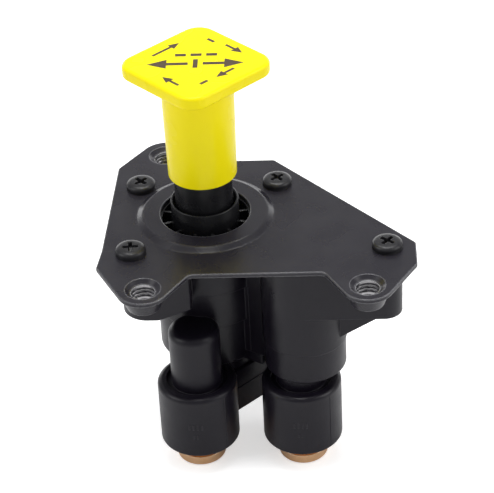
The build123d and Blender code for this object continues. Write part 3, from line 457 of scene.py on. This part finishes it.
seat_brass = dressed(
    "seat_brass", lines_group, {"Edge Radius": 0.15 * MM, "Line Scale": 5000.0, "Line Depth": 0.3},
    (0.68, 0.46, 0.20), (0.58, 0.38, 0.16), (0.80, 0.60, 0.32), 0.5, 0.30, 0.08, 1.0)
finish(seat_brass, "inlet_seat", "knob_insert")
bright_steel = dressed(
    "bright_steel", lines_group, {"Edge Radius": 0.1 * MM, "Line Scale": 5000.0, "Line Depth": 0.25},
    (0.56, 0.56, 0.57), (0.46, 0.46, 0.47), (0.70, 0.70, 0.70), 0.5, 0.28, 0.08, 1.0)
finish(bright_steel, "plunger_stem", "disc_washer", "disc_nut")

SPRING_LOW = -21.9
SPRING_HIGH = 7.4
COIL_R = 5.4
WIRE_R = 0.55
TURNS = 8
STEPS_A_TURN = 28
WIRE_SIDES = 12

spring_mesh = bmesh.new()
wire_rings = []
for step in range(TURNS * STEPS_A_TURN + 1):
    angle = 2 * math.pi * step / STEPS_A_TURN
    middle_z = SPRING_LOW + (SPRING_HIGH - SPRING_LOW) * step / (TURNS * STEPS_A_TURN)
    ring = []
    for side in range(WIRE_SIDES):
        tilt = 2 * math.pi * side / WIRE_SIDES
        r = COIL_R + WIRE_R * math.cos(tilt)
        ring.append(spring_mesh.verts.new((r * math.cos(angle), r * math.sin(angle),
                                           middle_z + WIRE_R * math.sin(tilt))))
    wire_rings.append(ring)
for low, high in zip(wire_rings, wire_rings[1:]):
    bridge(spring_mesh, low, high)
spring_mesh.faces.new(wire_rings[0])
spring_mesh.faces.new(wire_rings[-1])
spring_piece = new_piece("coil_spring", spring_mesh, "housing", 40)
spring_piece.data.materials.append(bright_steel)
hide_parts("return_spring")
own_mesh(spring_piece)
seal_rubber = dressed(
    "seal_rubber", skin_group,
    {"Edge Radius": 0.1 * MM, "Grain Scale": 4500.0, "Grain Depth": 0.5, "Wave Scale": 260.0, "Wave Depth": 0.1},
    (0.015, 0.015, 0.015), (0.026, 0.026, 0.027), (0.05, 0.05, 0.05), 0.4, 0.62, 0.10)
finish(seal_rubber, "valve_disc", "inlet_seat_seal", "wiper_seal", "plunger_seal", "guide_seal",
       "check_cap_seals", "shuttle_faces", "delivery_tube_seal", "front_supply_tube_seal",
       "rear_supply_tube_seal")


# Check cap and shuttle.
# Moulded acetal, pressed into the column under the plate. The plate holds the cap down.

acetal = dressed(
    "acetal", skin_group,
    {"Edge Radius": 0.15 * MM, "Grain Scale": 4000.0, "Grain Depth": 0.2, "Wave Scale": 150.0, "Wave Depth": 0.06},
    (0.006, 0.006, 0.007), (0.009, 0.009, 0.010), (0.045, 0.045, 0.05), 0.5, 0.28, 0.06, shine=0.4)
finish(acetal, "check_cap", "check_shuttle")


# Plunger and its guide.
# The plunger is a polished black rod. The guide's collar stands through the plate's raised ring,
# with a recess and twelve moulded ribs round it. Its rim is slightly rounded.

finish(acetal, "plunger")

GUIDE_COUNT = 128
GUIDE_LINE = [
    (8.94, -12.4), (13.9, -12.4), (13.9, -3.6), (16.2, -3.6), (16.2, -0.25), (13.3, -0.25), (13.3, -4.2),
    (10.4, -4.2), (10.4, 6.05), (9.9, 6.05), (8.94, 4.55), (8.94, -12.4)]
GUIDE_ROUNDS = [0.3, 0.2, 0.2, 0.3, 0.2, 0.3, 0.3, 0.28, 0.2, 0.3]
RIB_COUNT = 12
RIB_T = 0.9
RIB_TOP = -0.65
RIB_FLOOR = -4.3

guide_mesh = bmesh.new()
guide_line = polyline_rounded(GUIDE_LINE, GUIDE_ROUNDS, 3)
guide_rings = [circle(guide_mesh, r, z, count=GUIDE_COUNT) for r, z in guide_line[:-1]]
for low, high in zip(guide_rings, guide_rings[1:] + guide_rings[:1]):
    bridge(guide_mesh, low, high)
for index in range(RIB_COUNT):
    turn = Matrix.Rotation(math.radians((index + 0.5) * 360 / RIB_COUNT), 4, "Z")
    made = bmesh.ops.create_cube(guide_mesh, size=1.0)["verts"]
    bmesh.ops.scale(guide_mesh, vec=(3.6, RIB_T, RIB_TOP - RIB_FLOOR), verts=made)
    bmesh.ops.translate(guide_mesh, vec=(11.85, 0, 0.5 * (RIB_TOP + RIB_FLOOR)), verts=made)
    bmesh.ops.transform(guide_mesh, matrix=turn, verts=made)
    rib_edges = [edge for edge in guide_mesh.edges if edge.verts[0] in made and edge.verts[1] in made]
    bmesh.ops.bevel(guide_mesh, geom=rib_edges, offset=0.18, segments=2, profile=0.5, affect="EDGES")
guide_piece = new_piece("plunger_guide_collar", guide_mesh, "housing", 40)
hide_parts("plunger_guide")
guide_plastic = dressed(
    "guide_plastic", skin_group,
    {"Edge Radius": 0.12 * MM, "Grain Scale": 3600.0, "Grain Depth": 0.35, "Wave Scale": 160.0, "Wave Depth": 0.1},
    (0.005, 0.005, 0.006), (0.008, 0.008, 0.009), (0.10, 0.10, 0.102), 0.7, 0.27, 0.06, shine=0.36)
guide_piece.data.materials.append(guide_plastic)


# Mounting plate.
# Pressed steel sheet in black e-coat: a ring raised round the guide, and three collars drawn down
# and tapped. The press rounds every edge a little; the pale colour there is partly thin, worn coat and partly a
# painted highlight.

SHEET = 1.5
EDGE_R = 0.32
RING_R = 23.4
TAPPED_HOLES = [(-16.7, -38.4), (48.7, -38.4), (-14.3, 34.7)]
SCREW_PLACES = [(-20.8, 16.0), (21.8, 16.6), (-21.5, -20.0), (55.0, -19.4)]
SCREW_HOLE_R = 2.5
THREAD_R = 3.5
THREAD_DEPTH = 0.45
THREAD_PITCH = 1.27
THREAD_TOP = -1.25
THREAD_END = -6.0
PLATE_CORNERS = [
    (-17.20, -53.77, 7.7), (-3.52, -31.80, 2.5), (36.12, -31.80, 2.5), (48.61, -53.87, 7.7),
    (63.60, -28.11, 1.2), (63.60, -17.20, 1.2), (20.60, 30.60, 1.2), (-2.19, 30.60, 2.5),
    (-14.07, 49.61, 8.1), (-28.90, 27.45, 1.2), (-30.40, -18.60, 1.2), (-31.40, -27.28, 1.2)]


def closed_outline(corners):
    """A closed line in plan from corners given as x, y and radius."""
    line = []
    for i, (x, y, radius) in enumerate(corners):
        before = Vector(corners[i - 1][:2])
        after = Vector(corners[(i + 1) % len(corners)][:2])
        p = Vector((x, y))
        middle_before = p.lerp(before, 0.5)
        middle_after = p.lerp(after, 0.5)
        line += polyline_rounded([middle_before, p, middle_after], [radius], 14)[1:-1]
    return line


def drawn_in(line, distance):
    """The closed line moved inwards by a distance, for a line that runs counter-clockwise."""
    moved = []
    for i, p in enumerate(line):
        before = (p - line[i - 1]).normalized()
        after = (line[(i + 1) % len(line)] - p).normalized()
        normal = (Vector((-before.y, before.x)) + Vector((-after.y, after.x))).normalized()
        lean = max(0.3, normal.dot(Vector((-after.y, after.x))))
        moved.append(p + normal * (distance / lean))
    return moved


plate_mesh = bmesh.new()
plate_line = closed_outline(PLATE_CORNERS)
edge_levels = []
for step in range(4):
    angle = math.radians(30 * step)
    edge_levels.append((EDGE_R * (1 - math.sin(angle)), -EDGE_R * (1 - math.cos(angle))))
edge_levels += [(inset, -SHEET - drop) for inset, drop in reversed(edge_levels)]
plate_edge = []
for inset, z in edge_levels:
    plate_edge.append([plate_mesh.verts.new((p.x, p.y, z)) for p in drawn_in(plate_line, inset)])
for low, high in zip(plate_edge, plate_edge[1:]):
    bridge(plate_mesh, low, high)
ring_line = polyline_rounded(
    [(RING_R, 0), (21.1, 0), (19.2, 1.3), (13.8, 1.3), (13.8, -0.2), (19.2, -0.2), (21.1, -SHEET), (RING_R, -SHEET)],
    [1.2, 1.5, 0.3, 0.3, 1.0, 1.0], 7)
ring_top, ring_under = lathe(plate_mesh, ring_line, count=160)
tops = [plate_edge[0], ring_top]
unders = [plate_edge[-1], ring_under]
for hole in TAPPED_HOLES:
    sink_line = polyline_rounded([(6.0, 0), (5.3, 0), (3.95, -1.1), (THREAD_R, THREAD_TOP)], [0.3, 0.1], 3)
    sink_ring, _ = lathe(plate_mesh, sink_line, hole)
    tops.append(sink_ring)
    thread_rows = int((THREAD_TOP - THREAD_END) / 0.1)
    rows = [_]
    for row in range(1, thread_rows + 1):
        z = THREAD_TOP - 0.1 * row
        ends = min(1.0, 3.0 * row / thread_rows, 6.0 * (thread_rows - row) / thread_rows)
        ring = []
        for i in range(96):
            angle = 2 * math.pi * i / 96
            turn = (z / THREAD_PITCH + i / 96) % 1.0
            r = THREAD_R + THREAD_DEPTH * ends * (1 - abs(2 * turn - 1))
            ring.append(plate_mesh.verts.new((hole[0] + r * math.cos(angle), hole[1] + r * math.sin(angle), z)))
        rows.append(ring)
    for low, high in zip(rows, rows[1:]):
        bridge(plate_mesh, low, high)
    collar_line = polyline_rounded(
        [(THREAD_R, THREAD_END), (THREAD_R, -6.3), (4.9, -6.3), (6.5, -SHEET), (7.2, -SHEET)], [0.15, 0.4, 0.5], 3)
    collar_rings = [circle(plate_mesh, r, z, hole) for r, z in collar_line[1:]]
    bridge(plate_mesh, rows[-1], collar_rings[0])
    for low, high in zip(collar_rings, collar_rings[1:]):
        bridge(plate_mesh, low, high)
    unders.append(collar_rings[-1])
for place in SCREW_PLACES:
    top_ring, under_ring = lathe(plate_mesh, [(SCREW_HOLE_R, 0), (SCREW_HOLE_R, -SHEET)], place, 32)
    tops.append(top_ring)
    unders.append(under_ring)
fill(plate_mesh, tops)
fill(plate_mesh, unders)
plate_piece = new_piece("pressed_plate", plate_mesh, "housing", 50, weighted=True)
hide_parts("mounting_plate")
# The pale grey edge colour is partly worn coat and partly a painted highlight on the rounded edges.
plate_coat = dressed(
    "plate_coat", skin_group,
    {"Edge Radius": 0.4 * MM, "Grain Scale": 2600.0, "Grain Depth": 0.2, "Wave Scale": 90.0, "Wave Depth": 0.06},
    (0.016, 0.0145, 0.0200), (0.020, 0.0185, 0.0245), (0.75, 0.75, 0.78), 1.6, 0.28, 0.04, shine=0.36)
plate_piece.data.materials.append(plate_coat)
thread_steel = dressed(
    "thread_steel", lines_group, {"Edge Radius": 0.08 * MM, "Line Scale": 5000.0, "Line Depth": 0.3},
    (0.50, 0.49, 0.50), (0.40, 0.39, 0.40), (0.75, 0.75, 0.76), 0.3, 0.3, 0.04, 1.0)
plate_piece.data.materials.append(thread_steel)
# Faces near the thread crests take bright steel, and the roots keep the dark coat as painted shade between the crests.
for face in plate_piece.data.polygons:
    middle = face.center / MM
    for hole in TAPPED_HOLES:
        reach = math.hypot(middle.x - hole[0], middle.y - hole[1])
        if reach < THREAD_R + 0.3 * THREAD_DEPTH and THREAD_END < middle.z < THREAD_TOP:
            face.material_index = 1


# Plate screws.
# Four cross-recess pan-head screws in black zinc, each stopped at its own angle. The heads are
# smooth domes, and the recess slopes down to its middle.

HEAD_R = 4.6
HEAD_H = 2.4
RIM_H = 1.15
RECESS_ARM = 2.2
RECESS_HALF = 0.48
RECESS_DEPTH = 2.1
SHANK_R = 2.2
SHANK_END = -12.0
SCREW_TURNS = (45, 40, 5, 50)


def eased(value, limit, soft=0.14):
    """One inside a limit and nothing outside it, with a soft step between."""
    t = min(1.0, max(0.0, (limit + soft - abs(value)) / soft))
    return t * t * (3 - 2 * t)


def head_height(x, y):
    """The top of a screw head above the plate, for a place measured from its middle."""
    r = math.hypot(x, y)
    dome = RIM_H + (HEAD_H - RIM_H) * max(0.0, 1 - (r / HEAD_R) ** 6.0) ** 0.55
    arm = max(eased(x, RECESS_ARM) * eased(y, RECESS_HALF), eased(y, RECESS_ARM) * eased(x, RECESS_HALF))
    return dome - arm * (RECESS_DEPTH - 0.25 * r)


screw_coat = dressed(
    "screw_coat", skin_group,
    {"Edge Radius": 0.1 * MM, "Grain Scale": 5000.0, "Grain Depth": 0.2, "Wave Scale": 300.0, "Wave Depth": 0.05},
    (0.014, 0.0135, 0.016), (0.019, 0.0185, 0.021), (0.12, 0.12, 0.12), 0.5, 0.33, 0.05, shine=0.32)
screws_mesh = bmesh.new()
for place, degrees in zip(SCREW_PLACES, SCREW_TURNS):
    turn = math.radians(degrees)
    rings = [[screws_mesh.verts.new((place[0], place[1], head_height(0, 0)))]]
    for step in range(1, 47):
        r = HEAD_R * step / 46
        ring = []
        for i in range(120):
            angle = 2 * math.pi * i / 120
            z = head_height(r * math.cos(angle), r * math.sin(angle))
            ring.append(screws_mesh.verts.new((place[0] + r * math.cos(angle + turn),
                                               place[1] + r * math.sin(angle + turn), z)))
        rings.append(ring)
    rings.append(circle(screws_mesh, HEAD_R, 0.02, place, 120))
    rings.append(circle(screws_mesh, SHANK_R, 0.02, place, 120))
    rings.append(circle(screws_mesh, SHANK_R, SHANK_END + 1.0, place, 120))
    rings.append(circle(screws_mesh, 0.9, SHANK_END, place, 120))
    rings.append(circle(screws_mesh, 0, SHANK_END, place))
    for low, high in zip(rings, rings[1:]):
        bridge(screws_mesh, low, high)
screws_piece = new_piece("pan_head_screws", screws_mesh, "housing", 40)
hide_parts("plate_screws")
screws_piece.data.materials.append(screw_coat)


# Knob.
# Glossy yellow moulding: a square head with round corners and soft edges, set on its corner, and a
# slightly tapered stem. A blend joins the two, and the stem's end is open for the plunger.

KNOB_TOP = 53.6
KNOB_UNDER = 49.5
KNOB_SIDE = 34.2
KNOB_CORNER = 6.05
KNOB_SOFT = 1.15
STEM_TOP_R = 10.9
STEM_END_R = 10.4
STEM_END = 15.4
SOCKET_R = 8.91
SOCKET_TOP = 23.4
STEM_BLEND = 0.9

knob_mesh = bmesh.new()
half_side = 0.5 * KNOB_SIDE
knob_square = closed_outline([(-half_side, -half_side, KNOB_CORNER), (half_side, -half_side, KNOB_CORNER),
                              (half_side, half_side, KNOB_CORNER), (-half_side, half_side, KNOB_CORNER)])
quarter_turn = Matrix.Rotation(math.radians(45), 2)
knob_square = [quarter_turn @ p for p in knob_square]
knob_levels = []
for step in range(8):
    angle = math.radians(90 * step / 7)
    knob_levels.append((KNOB_SOFT * (1 - math.sin(angle)), KNOB_TOP - KNOB_SOFT * (1 - math.cos(angle))))
for step in range(8):
    angle = math.radians(90 * step / 7)
    knob_levels.append((0.8 * KNOB_SOFT * (1 - math.cos(angle)), KNOB_UNDER + 0.8 * KNOB_SOFT * (1 - math.sin(angle))))
knob_edge = []
for inset, z in knob_levels:
    knob_edge.append([knob_mesh.verts.new((p.x, p.y, z)) for p in drawn_in(knob_square, inset)])
for low, high in zip(knob_edge, knob_edge[1:]):
    bridge(knob_mesh, low, high)
fill(knob_mesh, [knob_edge[0]])
stem_line = polyline_rounded(
    [(STEM_TOP_R + 2.2, KNOB_UNDER), (STEM_TOP_R, KNOB_UNDER), (STEM_END_R, STEM_END), (SOCKET_R, STEM_END),
     (SOCKET_R, SOCKET_TOP), (5.2, SOCKET_TOP), (5.2, 38.4), (0, 38.4)],
    [STEM_BLEND, 0.45, 0.3, 0.1, 0.1, 0.3], 5)
stem_ring, stem_end = lathe(knob_mesh, stem_line, count=128)
fill(knob_mesh, [knob_edge[-1], stem_ring])
knob_piece = new_piece("yellow_knob", knob_mesh, "plunger_assembly", 50, weighted=True)
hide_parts("knob")
knob_gloss = dressed(
    "knob_gloss", skin_group,
    {"Edge Radius": 0.2 * MM, "Grain Scale": 1500.0, "Grain Depth": 0.06, "Wave Scale": 60.0, "Wave Depth": 0.05},
    (0.98, 0.835, 0.004), (0.95, 0.80, 0.003), (0.98, 0.92, 0.03), 0.3, 0.26, 0.05, shine=0.16)
knob_piece.data.materials.append(knob_gloss)


# Printed marks on the knob.
# Dark brown ink, tampo printed: plain arrows and strokes, a few hundredths of a millimetre thick.

INK_LOW = KNOB_TOP - 0.02
INK_HIGH = KNOB_TOP + 0.02


def arrow_shape(length, shaft, head):
    """An arrow that points along +X, centred on its length."""
    a = 0.5 * length
    neck = a - 1.1 * head
    return [(-a, -0.5 * shaft), (neck, -0.5 * shaft), (neck, -0.5 * head), (a, 0), (neck, 0.5 * head),
            (neck, 0.5 * shaft), (-a, 0.5 * shaft)]


def stroke_shape(length, shaft):
    a = 0.5 * length
    b = 0.5 * shaft
    return [(-a, -b), (a, -b), (a, b), (-a, b)]


def print_mark(bm, shape, place, degrees):
    turn = Matrix.Rotation(math.radians(degrees), 2)
    line = [turn @ Vector(p) + Vector(place) for p in shape]
    low = [bm.verts.new((p.x, p.y, INK_LOW)) for p in line]
    high = [bm.verts.new((p.x, p.y, INK_HIGH)) for p in line]
    bridge(bm, low, high)
    fill(bm, [high])
    fill(bm, [low])


ink_mesh = bmesh.new()
print_mark(ink_mesh, arrow_shape(12.0, 1.5, 5.2), (8.2, -1.3), 0)
print_mark(ink_mesh, arrow_shape(12.0, 1.5, 5.2), (-8.2, -1.3), 180)
print_mark(ink_mesh, stroke_shape(1.4, 5.0), (0, -1.3), 0)
for mark_x in (-4.6, 0, 4.6):
    print_mark(ink_mesh, stroke_shape(3.2, 1.5), (mark_x, 3.9), 0)
print_mark(ink_mesh, arrow_shape(10.5, 0.9, 3.0), (-9.1, 7.5), 45)
print_mark(ink_mesh, stroke_shape(2.8, 1.0), (4.0, 12.4), -45)
print_mark(ink_mesh, arrow_shape(7.0, 0.9, 3.0), (11.0, 7.0), -45)
print_mark(ink_mesh, arrow_shape(7.0, 0.9, 3.0), (8.9, -7.0), 225)
print_mark(ink_mesh, stroke_shape(2.8, 1.0), (3.0, -12.3), 45)
print_mark(ink_mesh, arrow_shape(7.0, 0.9, 3.0), (-6.7, -11.2), 135)
ink_piece = new_piece("knob_marks", ink_mesh, "plunger_assembly", 30)
ink = dressed(
    "brown_ink", skin_group,
    {"Edge Radius": 0.01 * MM, "Grain Scale": 9000.0, "Grain Depth": 0.2, "Wave Scale": 700.0, "Wave Depth": 0.02},
    (0.035, 0.016, 0.004), (0.075, 0.040, 0.008), (0.09, 0.05, 0.01), 0.3, 0.45, 0.05)
ink_piece.data.materials.append(ink)


# Push-in tube fittings.
# Each port holds a pressed brass retainer and a slotted collet that stands out below it. The collet's
# flange is turned, a little dull, with tool marks round it and a soft bright edge that is partly a painted highlight.

collet_brass = dressed(
    "collet_brass", lines_group, {"Edge Radius": 0.2 * MM, "Line Scale": 4200.0, "Line Depth": 0.35},
    (0.96, 0.66, 0.42), (0.74, 0.44, 0.23), (0.99, 0.86, 0.70), 0.8, 0.21, 0.07, 1.0)
finish(collet_brass, "delivery_collet", "front_supply_collet", "rear_supply_collet")
finish(seat_brass, "delivery_retainer", "front_supply_retainer", "rear_supply_retainer")
